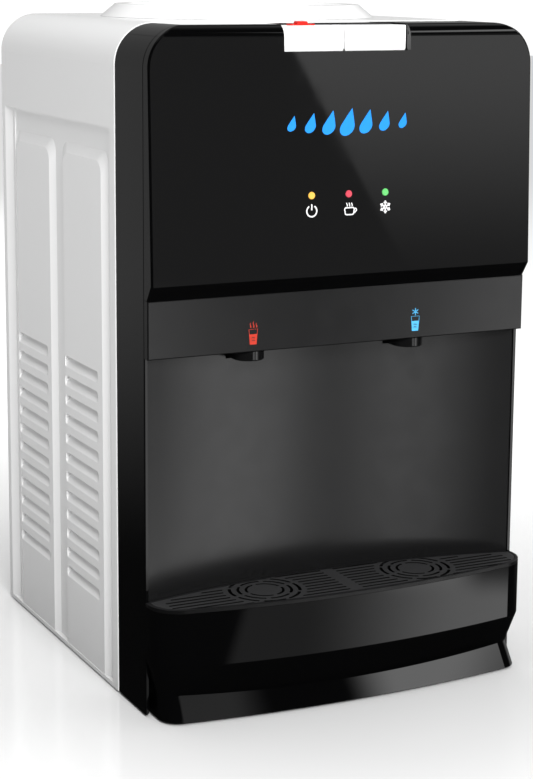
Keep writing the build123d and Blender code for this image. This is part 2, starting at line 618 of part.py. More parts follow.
# ---------------------------------------------------------------- valves and spouts
VALVE_LOW_Z = 268.2
VALVE_TOP_Z = 318.0
VALVE_R = 10.0
VALVE_BORE_R = 6.2
SEAT_Z = 289.0
for name, spout_x in (("hot", HOT_X), ("cold", COLD_X)):
    with BuildPart() as valve_body:
        post(spout_x, ROD_Y, VALVE_R, (VALVE_LOW_Z, VALVE_TOP_Z))
        post(spout_x, ROD_Y, VALVE_R + 2.5, (VALVE_LOW_Z, VALVE_LOW_Z + 2.5))
        post(spout_x, ROD_Y, VALVE_R + 1.2, (311, VALVE_TOP_Z - 1))
        pin(spout_x, INLET_Z, NIPPLE_R, (ROD_Y + 4, BULKHEAD_Y + 16))
        pin(spout_x, INLET_Z, 7.4, (ROD_Y + VALVE_R - 2, BULKHEAD_Y - 1))
        post(spout_x, ROD_Y, VALVE_BORE_R, (VALVE_LOW_Z - 1, SEAT_Z), mode=Mode.SUBTRACT)
        post(spout_x, ROD_Y, 3.8, (SEAT_Z - 1, SEAT_Z + 4), mode=Mode.SUBTRACT)
        post(spout_x, ROD_Y, VALVE_BORE_R, (SEAT_Z + 3, 309), mode=Mode.SUBTRACT)
        post(spout_x, ROD_Y, 2.1, (300, 320), mode=Mode.SUBTRACT)
        pin(spout_x, INLET_Z, 3.2, (ROD_Y, BULKHEAD_Y + 20), mode=Mode.SUBTRACT)
    valve_body.part.label = f"{name}_valve_body"
    export_step(valve_body.part, f"parts/{name}_valve_body.step")

    with BuildPart() as stem:
        post(spout_x, ROD_Y, 2.0, (SEAT_Z - 3, STEM_TOP_Z))
        post(spout_x, ROD_Y, 5.6, (SEAT_Z - 7, SEAT_Z - 0.2))
        fillet(stem.edges().group_by(Axis.Z)[0], 1.5)
    stem.part.label = f"{name}_valve_stem"
    export_step(stem.part, f"parts/{name}_valve_stem.step")

    with BuildPart() as spout:
        with BuildSketch(Plane.XY.offset(SPOUT_LOW_Z)):
            with Locations((spout_x, SPOUT_Y)):
                Circle(SPOUT_R)
            with Locations((spout_x, SPOUT_Y + 11)):
                Rectangle(2 * SPOUT_R, 22)
        extrude(amount=SPLASH_TOP_Z - SPOUT_LOW_Z)
        fillet(spout.edges().group_by(Axis.Z)[0], 1.0)
        post(spout_x, ROD_Y, 8.0, (SPLASH_TOP_Z - 1, VALVE_LOW_Z))
        post(spout_x, ROD_Y, 4.5, (SPOUT_LOW_Z - 1, VALVE_LOW_Z + 1), mode=Mode.SUBTRACT)
    spout.part.label = f"{name}_spout"
    export_step(spout.part, f"parts/{name}_spout.step")

# ---------------------------------------------------------------- base plate and feet
PLATE_Z = (4.0, 5.5)
RIM_Z = 16.0
with BuildPart() as base_plate:
    block((-147.5, 147.5), (-87, BACK_Y - 3.5), (PLATE_Z[0], RIM_Z))
    block((-146, 146), (-85.5, BACK_Y - 5), (PLATE_Z[1], RIM_Z + 1), mode=Mode.SUBTRACT)
    block((-125, 125), (-135, -85), PLATE_Z)
    for x in range(-130, 0, 16):
        # Air slots beside the hot tank.
        block((x, x + 7), (112, 140), (0, 8), mode=Mode.SUBTRACT)
base_plate.part.label = "base_plate"
export_step(base_plate.part, "parts/base_plate.step")

FOOT_SPOTS = [(x, y) for x in (-112, 112) for y in (-118, 128)]
with BuildPart() as rubber_feet:
    for x, y in FOOT_SPOTS:
        post(x, y, 12.0, (0, PLATE_Z[0]))
    fillet(rubber_feet.edges().group_by(Axis.Z)[0], 1.0)
rubber_feet.part.label = "rubber_feet"
export_step(rubber_feet.part, "parts/rubber_feet.step")

# ---------------------------------------------------------------- back panel
with BuildPart() as back_panel:
    extrude(arch(147.5, 493.5, 24.5, BACK_Y + BACK_WALL, bottom=8), amount=BACK_WALL)
    for x, z in BACK_SCREWS:
        pin(x, z, 2.2, (BACK_Y - 1, BACK_Y + 3), mode=Mode.SUBTRACT)
    for x in SWITCH_X:
        cutout_z = (SWITCH_Z - 11, SWITCH_Z + 11)
        block((x - 7.3, x + 7.3), (BACK_Y - 1, BACK_Y + 3), cutout_z, mode=Mode.SUBTRACT)
    pin(DRAIN_X, DRAIN_Z, 8.1, (BACK_Y - 1, BACK_Y + 3), mode=Mode.SUBTRACT)
    pin(GLAND_X, GLAND_Z, 8.1, (BACK_Y - 1, BACK_Y + 3), mode=Mode.SUBTRACT)
    for x in range(10, 110, 12):
        block((x, x + 5), (BACK_Y - 1, BACK_Y + 3), (22, 70), mode=Mode.SUBTRACT)
back_panel.part.label = "back_panel"
export_step(back_panel.part, "parts/back_panel.step")

with BuildPart() as back_panel_screws:
    for x, z in BACK_SCREWS:
        pin(x, z, 3.8, (BACK_Y + BACK_WALL, BACK_Y + BACK_WALL + 2.2))
        pin(x, z, 1.75, (BACK_Y - 6, BACK_Y + BACK_WALL + 1))
        block((x - 2.6, x + 2.6), (BACK_Y + 2.6, BACK_Y + 5), (z - 0.4, z + 0.4), mode=Mode.SUBTRACT)
        block((x - 0.4, x + 0.4), (BACK_Y + 2.6, BACK_Y + 5), (z - 2.6, z + 2.6), mode=Mode.SUBTRACT)
back_panel_screws.part.label = "back_panel_screws"
export_step(back_panel_screws.part, "parts/back_panel_screws.step")

# ---------------------------------------------------------------- bottle seat
AXIS_PLANE = Plane(origin=(0, TANK_Y, 0), x_dir=(1, 0, 0), z_dir=(0, -1, 0))
TANK_AXIS = Axis((0, TANK_Y, 0), (0, 0, 1))


def turned(points):
    """Ring turned about the tank's upright axis from its (radius, z) section."""
    with BuildPart() as ring:
        with BuildSketch(AXIS_PLANE):
            with BuildLine():
                Polyline(*points, close=True)
            make_face()
        revolve(axis=TANK_AXIS)
    return ring.part


with BuildPart() as bottle_collar:
    add(
        turned([
            (COLLAR_BASE_R, CABINET_TOP_Z + 0.2),
            (COLLAR_TOP_R, COLLAR_TOP_Z - 1.6),
            (COLLAR_TOP_R - 1.8, COLLAR_TOP_Z),
            (89.0, COLLAR_TOP_Z),
            (87.5, COLLAR_TOP_Z - 1.5),
            (87.5, 502.0),
            (96.5, 500.5),
            (96.5, 486.0),
            (99.2, 486.0),
            (99.2, CABINET_TOP_Z + 0.2),
        ])
    )
bottle_collar.part.label = "bottle_collar"
export_step(bottle_collar.part, "parts/bottle_collar.step")

with BuildPart() as bottle_seat:
    add(
        turned([
            (96.2, 500.2), (96.2, 497.6), (87.0, 497.6), (33.0, 479.0),
            (33.0, 452.0), (30.0, 452.0), (30.0, 481.0), (86.5, 500.2),
        ])
    )
bottle_seat.part.label = "bottle_seat"
export_step(bottle_seat.part, "parts/bottle_seat.step")

with BuildPart() as neck_seal:
    add(turned([(28.5, 483.3), (36.0, 483.3), (36.0, 486.0), (28.5, 486.0)]))
    fillet(neck_seal.edges().group_by(Axis.Z)[-1], 0.8)
neck_seal.part.label = "neck_seal"
export_step(neck_seal.part, "parts/neck_seal.step")

with BuildPart() as feed_probe:
    add(turned([(6.0, 440), (9.0, 440), (9.0, 474), (2.0, 486), (0, 486), (0, 480), (6.0, 472)]))
    post(0, TANK_Y, 29.8, (453, 456.5))
    post(0, TANK_Y, 6.0, (452, 458), mode=Mode.SUBTRACT)
    with Locations(Location((0, TANK_Y, 455))):
        with PolarLocations(19.5, 6):
            Cylinder(5.5, 10, mode=Mode.SUBTRACT)
    with Locations(Location((0, TANK_Y, 466), (90, 0, 0)), Location((0, TANK_Y, 466), (0, 90, 0))):
        Cylinder(2.5, 30, mode=Mode.SUBTRACT)
feed_probe.part.label = "feed_probe"
export_step(feed_probe.part, "parts/feed_probe.step")

# ---------------------------------------------------------------- cold tank
COLD_NIPPLE = (0.0, TANK_Y - 60.0)
TRANSFER_NIPPLE = (0.0, TANK_Y)
TANK_WALL = 1.2
with BuildPart() as cold_tank:
    post(0, TANK_Y, TANK_R, (TANK_LOW_Z, TANK_TOP_Z))
    fillet(cold_tank.edges().group_by(Axis.Z)[0], 8.0)
    post(0, TANK_Y, TANK_R + 6, (TANK_TOP_Z - TANK_WALL, TANK_TOP_Z))
    for x, y in (COLD_NIPPLE, TRANSFER_NIPPLE):
        post(x, y, NIPPLE_R, (272, TANK_LOW_Z + 1))
    post(0, TANK_Y, TANK_R - TANK_WALL - 6, (TANK_LOW_Z + TANK_WALL, TANK_TOP_Z + 1), mode=Mode.SUBTRACT)
    post(0, TANK_Y, TANK_R - TANK_WALL, (TANK_LOW_Z + 8, TANK_TOP_Z + 1), mode=Mode.SUBTRACT)
    for x, y in (COLD_NIPPLE, TRANSFER_NIPPLE):
        post(x, y, NIPPLE_R - 1, (260, 310), mode=Mode.SUBTRACT)
cold_tank.part.label = "cold_tank"
export_step(cold_tank.part, "parts/cold_tank.step")

with BuildPart() as tank_baffle:
    # Keeps the warm water on top apart from the chilled water below.
    post(0, TANK_Y, 76.0, (396, 398))
    post(0, TANK_Y, 8.0, (312, 398))
    post(0, TANK_Y, 6.0, (300, 400), mode=Mode.SUBTRACT)
    with Locations(Location((0, TANK_Y, 397))):
        with PolarLocations(66, 8):
            Cylinder(4, 10, mode=Mode.SUBTRACT)
tank_baffle.part.label = "tank_baffle"
export_step(tank_baffle.part, "parts/tank_baffle.step")

COIL_R = 84.0
COIL_TUBE_R = 3.0
COIL_PITCH = 14.0
COIL_TURNS = 6
with BuildPart() as evaporator_coil:
    with BuildLine():
        Helix(COIL_PITCH, COIL_PITCH * COIL_TURNS, COIL_R, center=(0, TANK_Y, 316))
    with BuildSketch(Plane(origin=(COIL_R, TANK_Y, 316), z_dir=(0, 1, 0))):
        Circle(COIL_TUBE_R)
    sweep(is_frenet=True)
evaporator_coil.part.label = "evaporator_coil"
export_step(evaporator_coil.part, "parts/evaporator_coil.step")

for name, side in (("insulation_left", -1), ("insulation_right", 1)):
    with BuildPart() as foam:
        post(0, TANK_Y, FOAM_R, (FOAM_LOW_Z, TANK_TOP_Z - TANK_WALL - GAP))
        fillet(foam.edges().group_by(Axis.Z)[0], 6.0)
        post(0, TANK_Y, COIL_R + COIL_TUBE_R + 0.5, (TANK_LOW_Z - 0.2, 480), mode=Mode.SUBTRACT)
        for x, y in (COLD_NIPPLE, TRANSFER_NIPPLE):
            post(x, y, NIPPLE_R + 0.4, (270, 310), mode=Mode.SUBTRACT)
        block(sorted((side * 0.2, -side * 200)), (-200, 200), (200, 500), mode=Mode.SUBTRACT)
    foam.part.label = name
    export_step(foam.part, f"parts/{name}.step")

# ---------------------------------------------------------------- hot tank
FEED_Z = 80.0
with BuildPart() as hot_tank:
    post(BOILER_X, BOILER_Y, BOILER_R, (BOILER_LOW_Z, BOILER_TOP_Z))
    fillet(hot_tank.edges().group_by(Axis.Z)[0] + hot_tank.edges().group_by(Axis.Z)[-1], 8.0)
    offset(amount=-1.2, mode=Mode.SUBTRACT)
    post(BOILER_X, BOILER_Y, NIPPLE_R, (BOILER_TOP_Z - 1, 246))
    pin(BOILER_X, FEED_Z, NIPPLE_R, (BOILER_Y - BOILER_R - 24, BOILER_Y - BOILER_R + 1))
    pin(BOILER_X, DRAIN_Z, NIPPLE_R, (BOILER_Y + BOILER_R - 1, BOILER_Y + BOILER_R + 22))
    post(BOILER_X, BOILER_Y, NIPPLE_R - 1, (BOILER_TOP_Z - 5, 250), mode=Mode.SUBTRACT)
    feed_bore_y = (BOILER_Y - BOILER_R - 30, BOILER_Y - BOILER_R + 5)
    pin(BOILER_X, FEED_Z, NIPPLE_R - 1, feed_bore_y, mode=Mode.SUBTRACT)
    drain_bore_y = (BOILER_Y + BOILER_R - 5, BOILER_Y + BOILER_R + 30)
    pin(BOILER_X, DRAIN_Z, NIPPLE_R - 1, drain_bore_y, mode=Mode.SUBTRACT)
hot_tank.part.label = "hot_tank"
export_step(hot_tank.part, "parts/hot_tank.step")

with BuildPart() as hot_tank_jacket:
    post(BOILER_X, BOILER_Y, JACKET_R, (BOILER_LOW_Z - 4, BOILER_TOP_Z + 8))
    post(BOILER_X, BOILER_Y, BOILER_R + 3.4, (40, 250), mode=Mode.SUBTRACT)
    pin(BOILER_X, FEED_Z, NIPPLE_R + 0.6, (BOILER_Y - 70, BOILER_Y), mode=Mode.SUBTRACT)
    pin(BOILER_X, DRAIN_Z, NIPPLE_R + 0.6, (BOILER_Y, BOILER_Y + 70), mode=Mode.SUBTRACT)
hot_tank_jacket.part.label = "hot_tank_jacket"
export_step(hot_tank_jacket.part, "parts/hot_tank_jacket.step")

with BuildPart() as band_heater:
    post(BOILER_X, BOILER_Y, BOILER_R + 3.0, (100, 160))
    post(BOILER_X, BOILER_Y, BOILER_R + 0.2, (90, 170), mode=Mode.SUBTRACT)
    block((BOILER_X - 3, BOILER_X + 3), (BOILER_Y - 60, BOILER_Y - 30), (90, 170), mode=Mode.SUBTRACT)
band_heater.part.label = "band_heater"
export_step(band_heater.part, "parts/band_heater.step")

with BuildPart() as hot_thermostats:
    for x, y in ((BOILER_X - 22, BOILER_Y), (BOILER_X + 22, BOILER_Y)):
        post(x, y, 8.0, (BOILER_TOP_Z, BOILER_TOP_Z + 6))
        post(x, y, 5.5, (BOILER_TOP_Z + 5, BOILER_TOP_Z + 12))
hot_thermostats.part.label = "hot_thermostats"
export_step(hot_thermostats.part, "parts/hot_thermostats.step")

with BuildPart() as hot_tank_stand:
    post(BOILER_X, BOILER_Y, JACKET_R, (BOILER_LOW_Z - 8, BOILER_LOW_Z - 4))
    post(BOILER_X, BOILER_Y, 34.0, (BOILER_LOW_Z - 5, BOILER_LOW_Z))
    post(BOILER_X, BOILER_Y, 26.0, (40, 70), mode=Mode.SUBTRACT)
    with Locations(Location((BOILER_X, BOILER_Y, (PLATE_Z[1] + BOILER_LOW_Z - 6) / 2))):
        with PolarLocations(44, 3, start_angle=30):
            Box(12, 12, BOILER_LOW_Z - 6 - PLATE_Z[1])
hot_tank_stand.part.label = "hot_tank_stand"
export_step(hot_tank_stand.part, "parts/hot_tank_stand.step")

# ---------------------------------------------------------------- cooling circuit
MOUNT_SPOTS = [(PUMP_X + dx, PUMP_Y + dy) for dx in (-50, 50) for dy in (-50, 50)]
PUMP_Z = (16.0, 140.0)
PUMP_WALL = 3.0
with BuildPart(mode=Mode.PRIVATE) as pump_hollow:
    post(PUMP_X, PUMP_Y, PUMP_R - PUMP_WALL, (PUMP_Z[0] + PUMP_WALL, PUMP_Z[1] - PUMP_WALL))
    fillet(pump_hollow.edges().group_by(Axis.Z)[0], 9.0)
    fillet(pump_hollow.edges().group_by(Axis.Z)[-1], 19.0)

with BuildPart() as compressor:
    post(PUMP_X, PUMP_Y, PUMP_R, PUMP_Z)
    fillet(compressor.edges().group_by(Axis.Z)[0], 12.0)
    fillet(compressor.edges().group_by(Axis.Z)[-1], 22.0)
    add(pump_hollow.part, mode=Mode.SUBTRACT)
    # Motor and pump block on its inner stand.
    post(PUMP_X, PUMP_Y, 40.0, (32, 108))
    for x in (PUMP_X - 24, PUMP_X + 24):
        post(x, PUMP_Y, 6.0, (PUMP_Z[0] + 1, 33))
    post(PUMP_X, PUMP_Y, PUMP_R + 3, (76, 81))
    post(PUMP_X, PUMP_Y, PUMP_R - PUMP_WALL, (75, 82), mode=Mode.SUBTRACT)
    post(PUMP_X, PUMP_Y, 40.0, (74, 83))
    block((PUMP_X - 60, PUMP_X + 60), (PUMP_Y - 60, PUMP_Y + 60), (13.5, 17))
    for x, y in MOUNT_SPOTS:
        post(x, y, 5.0, (10, 20), mode=Mode.SUBTRACT)
    block((PUMP_X - 18, PUMP_X + 18), (PUMP_Y - PUMP_R - 8, PUMP_Y - PUMP_R + 8), (92, 124))
    for dx in (-16, 0, 16):
        # Suction, discharge and process tubes.
        post(PUMP_X + dx, PUMP_Y + 20, 3.2, (PUMP_Z[1] - 2, 160))
        post(PUMP_X + dx, PUMP_Y + 20, 2.2, (PUMP_Z[1] - 12, 161), mode=Mode.SUBTRACT)
compressor.part.label = "compressor"
export_step(compressor.part, "parts/compressor.step")

with BuildPart() as compressor_grommets:
    for x, y in MOUNT_SPOTS:
        post(x, y, 9.0, (PLATE_Z[1], 13.4))
        post(x, y, 4.8, (PLATE_Z[1], 19))
        post(x, y, 7.5, (17.2, 20))
compressor_grommets.part.label = "compressor_grommets"
export_step(compressor_grommets.part, "parts/compressor_grommets.step")

with BuildPart() as filter_drier:
    drier_x, drier_y = 122.0, 20.0
    post(drier_x, drier_y, 9.0, (170, 240))
    fillet(filter_drier.edges().filter_by(GeomType.CIRCLE), 5.0)
    post(drier_x, drier_y, 3.0, (150, 262))
filter_drier.part.label = "filter_drier"
export_step(filter_drier.part, "parts/filter_drier.step")

COND_HALF = 112.0
COND_ROWS = 12
COND_PITCH = 25.0
COND_LOW_Z = 100.0
COND_TUBE_R = 2.5
WIRE_R = 0.8
with BuildPart() as condenser:
    with BuildLine(Plane.XZ.offset(-COIL_Y)) as serpentine:
        for row in range(COND_ROWS):
            side = 1 if row % 2 == 0 else -1
            z = COND_LOW_Z + row * COND_PITCH
            Line((-side * COND_HALF, z), (side * COND_HALF, z))
            if row < COND_ROWS - 1:
                ThreePointArc(
                    (side * COND_HALF, z),
                    (side * (COND_HALF + COND_PITCH / 2), z + COND_PITCH / 2),
                    (side * COND_HALF, z + COND_PITCH),
                )
    with BuildSketch(Plane(origin=(-COND_HALF, COIL_Y, COND_LOW_Z), z_dir=(1, 0, 0))):
        Circle(COND_TUBE_R)
    sweep()
    wire_y = COIL_Y + COND_TUBE_R + WIRE_R - 0.3
    top_z = COND_LOW_Z + (COND_ROWS - 1) * COND_PITCH
    for step in range(13):
        post(-102 + 17 * step, wire_y, WIRE_R, (COND_LOW_Z - 12, top_z + 12))
    for x in (-95, 95):
        for z in (COND_LOW_Z, top_z):
            pin(x, z, 2.0, (BACK_Y + BACK_WALL, COIL_Y - 1))
condenser.part.label = "condenser"
export_step(condenser.part, "parts/condenser.step")

# ---------------------------------------------------------------- hoses
INLET_Y = BULKHEAD_Y + 8.0
HOSES = {
    "hot_hose": [
        (HOT_X, INLET_Y, INLET_Z), (HOT_X, INLET_Y + 33, INLET_Z), (-74, -40, 272),
        (-79, 8, 264), (BOILER_X, BOILER_Y, 268), (BOILER_X, BOILER_Y, 236),
    ],
    "cold_hose": [
        (COLD_X, INLET_Y, INLET_Z), (COLD_X, INLET_Y + 33, INLET_Z), (54, -46, 266),
        (32, -30, 238), (7, -17, 232), (*COLD_NIPPLE, 248), (*COLD_NIPPLE, 282),
    ],
    "transfer_hose": [
        (BOILER_X, -7, FEED_Z), (BOILER_X, -46, FEED_Z), (-62, -60, 122),
        (-30, -36, 180), (-10, 8, 218), (*TRANSFER_NIPPLE, 244), (*TRANSFER_NIPPLE, 282),
    ],
}
for name, points in HOSES.items():
    path = hose_route(points)
    with BuildPart() as tube:
        with BuildSketch(Plane(origin=path @ 0, z_dir=path % 0)):
            Circle(HOSE_R)
            Circle(HOSE_BORE_R, mode=Mode.SUBTRACT)
        sweep(path=path)
    section = pi * (HOSE_R**2 - HOSE_BORE_R**2)
    run = sum(edge.length for edge in path.edges())
    print(name, "volume", round(tube.part.volume), "section x length", round(section * run))
    tube.part.label = name
    export_step(tube.part, f"parts/{name}.step")

with BuildPart() as drain_hose:
    pin(BOILER_X, DRAIN_Z, HOSE_R, (107, 146))
    pin(BOILER_X, DRAIN_Z, HOSE_BORE_R, (100, 150), mode=Mode.SUBTRACT)
drain_hose.part.label = "drain_hose"
export_step(drain_hose.part, "parts/drain_hose.step")

# ---------------------------------------------------------------- drain, gland and switches
PANEL_OUT_Y = BACK_Y + BACK_WALL
PIVOT_R = 1.5
with BuildPart() as drain_fitting:
    pin(DRAIN_X, DRAIN_Z, 7.0, (PANEL_OUT_Y, PANEL_OUT_Y + 15))
    pin(DRAIN_X, DRAIN_Z, 11.0, (PANEL_OUT_Y, PANEL_OUT_Y + 3))
    pin(DRAIN_X, DRAIN_Z, 8.0, (BACK_Y - 2, PANEL_OUT_Y + 1))
    pin(DRAIN_X, DRAIN_Z, NIPPLE_R, (BACK_Y - 16, BACK_Y))
    pin(DRAIN_X, DRAIN_Z, NIPPLE_R - 1, (BACK_Y - 20, PANEL_OUT_Y + 20), mode=Mode.SUBTRACT)
drain_fitting.part.label = "drain_fitting"
export_step(drain_fitting.part, "parts/drain_fitting.step")

CAP_Y = (PANEL_OUT_Y + 3.4, PANEL_OUT_Y + 18)
with BuildPart() as drain_cap:
    pin(DRAIN_X, DRAIN_Z, 10.0, CAP_Y)
    fillet(drain_cap.edges().group_by(Axis.Y)[-1], 1.2)
    for step in range(12):
        # Finger grooves round the rim.
        x = DRAIN_X + 10.4 * cos(step * pi / 6)
        z = DRAIN_Z + 10.4 * sin(step * pi / 6)
        pin(x, z, 1.2, (CAP_Y[0] - 1, CAP_Y[1] + 1), mode=Mode.SUBTRACT)
    pin(DRAIN_X, DRAIN_Z, 7.3, (CAP_Y[0] - 1, PANEL_OUT_Y + 15.4), mode=Mode.SUBTRACT)
drain_cap.part.label = "drain_cap"
export_step(drain_cap.part, "parts/drain_cap.step")

with BuildPart() as cord_gland:
    pin(GLAND_X, GLAND_Z, 8.0, (BACK_Y - 5, PANEL_OUT_Y + 1))
    pin(GLAND_X, GLAND_Z, 11.0, (PANEL_OUT_Y, PANEL_OUT_Y + 4))
    fillet(cord_gland.edges().group_by(Axis.Y)[-1], 1.5)
    pin(GLAND_X, GLAND_Z, CORD_R, (BACK_Y - 10, REAR_Y), mode=Mode.SUBTRACT)
cord_gland.part.label = "cord_gland"
export_step(cord_gland.part, "parts/cord_gland.step")

with BuildPart() as switch_housings:
    for x in SWITCH_X:
        flange_z = (SWITCH_Z - 13, SWITCH_Z + 13)
        block((x - 9, x + 9), (PANEL_OUT_Y, PANEL_OUT_Y + 2), flange_z)
        body_z = (SWITCH_Z - 10.9, SWITCH_Z + 10.9)
        block((x - 7.2, x + 7.2), (BACK_Y - 14, PANEL_OUT_Y + 1), body_z)
        mouth_z = (SWITCH_Z - 9.9, SWITCH_Z + 9.9)
        block((x - 5.8, x + 5.8), (BACK_Y - 10, REAR_Y), mouth_z, mode=Mode.SUBTRACT)
        with Locations(Location((x, PANEL_OUT_Y, SWITCH_Z), (0, 90, 0))):
            Cylinder(PIVOT_R + 0.2, 13.6, mode=Mode.SUBTRACT)
switch_housings.part.label = "switch_housings"
export_step(switch_housings.part, "parts/switch_housings.step")

for name, x in (("heat_rocker", SWITCH_X[0]), ("cool_rocker", SWITCH_X[1])):
    pivot = Plane(
        origin=(x - 5.5, PANEL_OUT_Y, SWITCH_Z),
        x_dir=(0, cos(radians(SWITCH_TILT)), sin(radians(SWITCH_TILT))),
        z_dir=(1, 0, 0),
    )
    with BuildPart() as rocker:
        with BuildSketch(pivot):
            with BuildLine():
                Polyline((-4, -8.4), (2.6, -9.0), (1.2, 0), (2.6, 9.0), (-4, 8.4), close=True)
            make_face()
        extrude(amount=11)
        with Locations(Location((x, PANEL_OUT_Y, SWITCH_Z), (0, 90, 0))):
            Cylinder(PIVOT_R, 13.2)
    rocker.part.label = name
    export_step(rocker.part, f"parts/{name}.step")

# ---------------------------------------------------------------- power board
with BuildPart() as power_board:
    block((-146, -144.4), (-60, 10), (110, 190))
    for y, z, tall in ((-50, 122, 12), (-30, 122, 16), (-50, 160, 10), (-14, 150, 20)):
        block((-145, -145 + tall), (y, y + 14), (z, z + 20))
power_board.part.label = "power_board"
export_step(power_board.part, "parts/power_board.step")
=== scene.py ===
import json
from math import cos, pi, radians, sin

import bmesh
import bpy
from mathutils import Matrix, Vector


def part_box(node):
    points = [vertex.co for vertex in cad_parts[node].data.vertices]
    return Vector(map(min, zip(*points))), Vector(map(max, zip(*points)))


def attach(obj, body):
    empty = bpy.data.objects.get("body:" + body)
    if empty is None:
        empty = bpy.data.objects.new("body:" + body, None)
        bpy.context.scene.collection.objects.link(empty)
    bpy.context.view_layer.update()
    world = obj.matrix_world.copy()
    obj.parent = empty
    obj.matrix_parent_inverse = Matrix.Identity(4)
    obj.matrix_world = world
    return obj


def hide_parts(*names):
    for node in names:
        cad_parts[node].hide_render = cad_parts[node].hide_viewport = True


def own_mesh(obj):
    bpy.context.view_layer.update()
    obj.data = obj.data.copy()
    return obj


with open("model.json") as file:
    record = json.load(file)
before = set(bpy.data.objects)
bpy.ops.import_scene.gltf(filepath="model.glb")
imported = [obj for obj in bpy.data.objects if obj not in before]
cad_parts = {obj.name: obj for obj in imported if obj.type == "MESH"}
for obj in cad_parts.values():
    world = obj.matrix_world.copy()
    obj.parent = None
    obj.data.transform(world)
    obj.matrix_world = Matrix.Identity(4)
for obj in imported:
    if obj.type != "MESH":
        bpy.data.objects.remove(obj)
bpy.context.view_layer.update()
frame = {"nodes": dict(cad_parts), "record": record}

# Looks of the countertop water dispenser. Metres, +Z up, the front faces -Y.
MM = 0.001
nodes = frame["nodes"]
scene = bpy.context.scene


# ------------------------------------------------------------------ camera
CAMERA_PLACE = (-0.66633, -1.38901, 0.53745)
CAMERA_YAW = radians(25.82)
CAMERA_TILT = radians(10.21)
CAMERA_ROLL = radians(0.38)
CAMERA_LENS = 90.78
CAMERA_SHIFT = -0.0892
CAMERA_REACH = 50.0


def make_camera():
    """Long lens from the front left, a little above the lid and tilted down, with a shifted frame."""
    yaw, tilt, roll = CAMERA_YAW, CAMERA_TILT, CAMERA_ROLL
    forward = Vector((sin(yaw) * cos(tilt), cos(yaw) * cos(tilt), -sin(tilt)))
    level_right = Vector((cos(yaw), -sin(yaw), 0.0))
    level_up = level_right.cross(forward)
    right = level_right * cos(roll) + level_up * sin(roll)
    up = level_up * cos(roll) - level_right * sin(roll)
    data = bpy.data.cameras.new("camera")
    data.lens = CAMERA_LENS
    data.shift_y = CAMERA_SHIFT
    data.clip_end = CAMERA_REACH
    camera = bpy.data.objects.new("camera", data)
    turn = Matrix((right, up, -forward)).transposed()
    camera.matrix_world = Matrix.Translation(CAMERA_PLACE) @ turn.to_4x4()
    scene.collection.objects.link(camera)
    scene.camera = camera


make_camera()


# ------------------------------------------------------------------ node helpers
class Tree:
    """A material's or world's node tree, with short calls for the nodes used here."""

    def __init__(self, owner):
        owner.use_nodes = True
        self.nodes = owner.node_tree.nodes
        self.links = owner.node_tree.links
        self.nodes.clear()

    def add(self, kind, **settings):
        node = self.nodes.new(kind)
        for name, value in settings.items():
            setattr(node, name, value)
        return node

    def feed(self, socket, value):
        """Links a socket to another node's output, or sets it to a constant."""
        if isinstance(value, bpy.types.NodeSocket):
            self.links.new(value, socket)
        else:
            socket.default_value = value

    def math(self, operation, first, second=0.0, third=None):
        node = self.add("ShaderNodeMath", operation=operation)
        self.feed(node.inputs[0], first)
        self.feed(node.inputs[1], second)
        if third is not None:
            self.feed(node.inputs[2], third)
        return node.outputs[0]

    def ramp(self, value, low, high, start=0.0, end=1.0):
        """Maps value from low..high to start..end, clamped, with soft shoulders."""
        node = self.add("ShaderNodeMapRange", clamp=True, interpolation_type="SMOOTHSTEP")
        for socket, number in zip(node.inputs[:5], (value, low, high, start, end)):
            self.feed(socket, number)
        return node.outputs[0]

    def noise(self, scale, detail=2.0):
        """Noise over the row frame; scale is in features per metre."""
        node = self.add("ShaderNodeTexNoise")
        self.feed(node.inputs["Vector"], self.add("ShaderNodeTexCoord").outputs["Object"])
        self.feed(node.inputs["Scale"], scale)
        self.feed(node.inputs["Detail"], detail)
        return node.outputs["Fac"]

    def blend(self, factor, first, second):
        """Goes from the first color to the second; each is a socket or three numbers."""
        node = self.add("ShaderNodeMix", data_type="RGBA")
        self.feed(node.inputs["Factor"], factor)
        for socket, color in ((node.inputs[6], first), (node.inputs[7], second)):
            self.feed(socket, color if isinstance(color, bpy.types.NodeSocket) else (*color, 1.0))
        return node.outputs[2]

    def bump(self, height, strength, distance):
        node = self.add("ShaderNodeBump")
        self.feed(node.inputs["Height"], height)
        self.feed(node.inputs["Strength"], strength)
        self.feed(node.inputs["Distance"], distance)
        return node.outputs["Normal"]

    def close(self, kind, shader):
        """Ends the tree in an output node of this kind."""
        self.feed(self.add(kind).inputs["Surface"], shader.outputs[0])


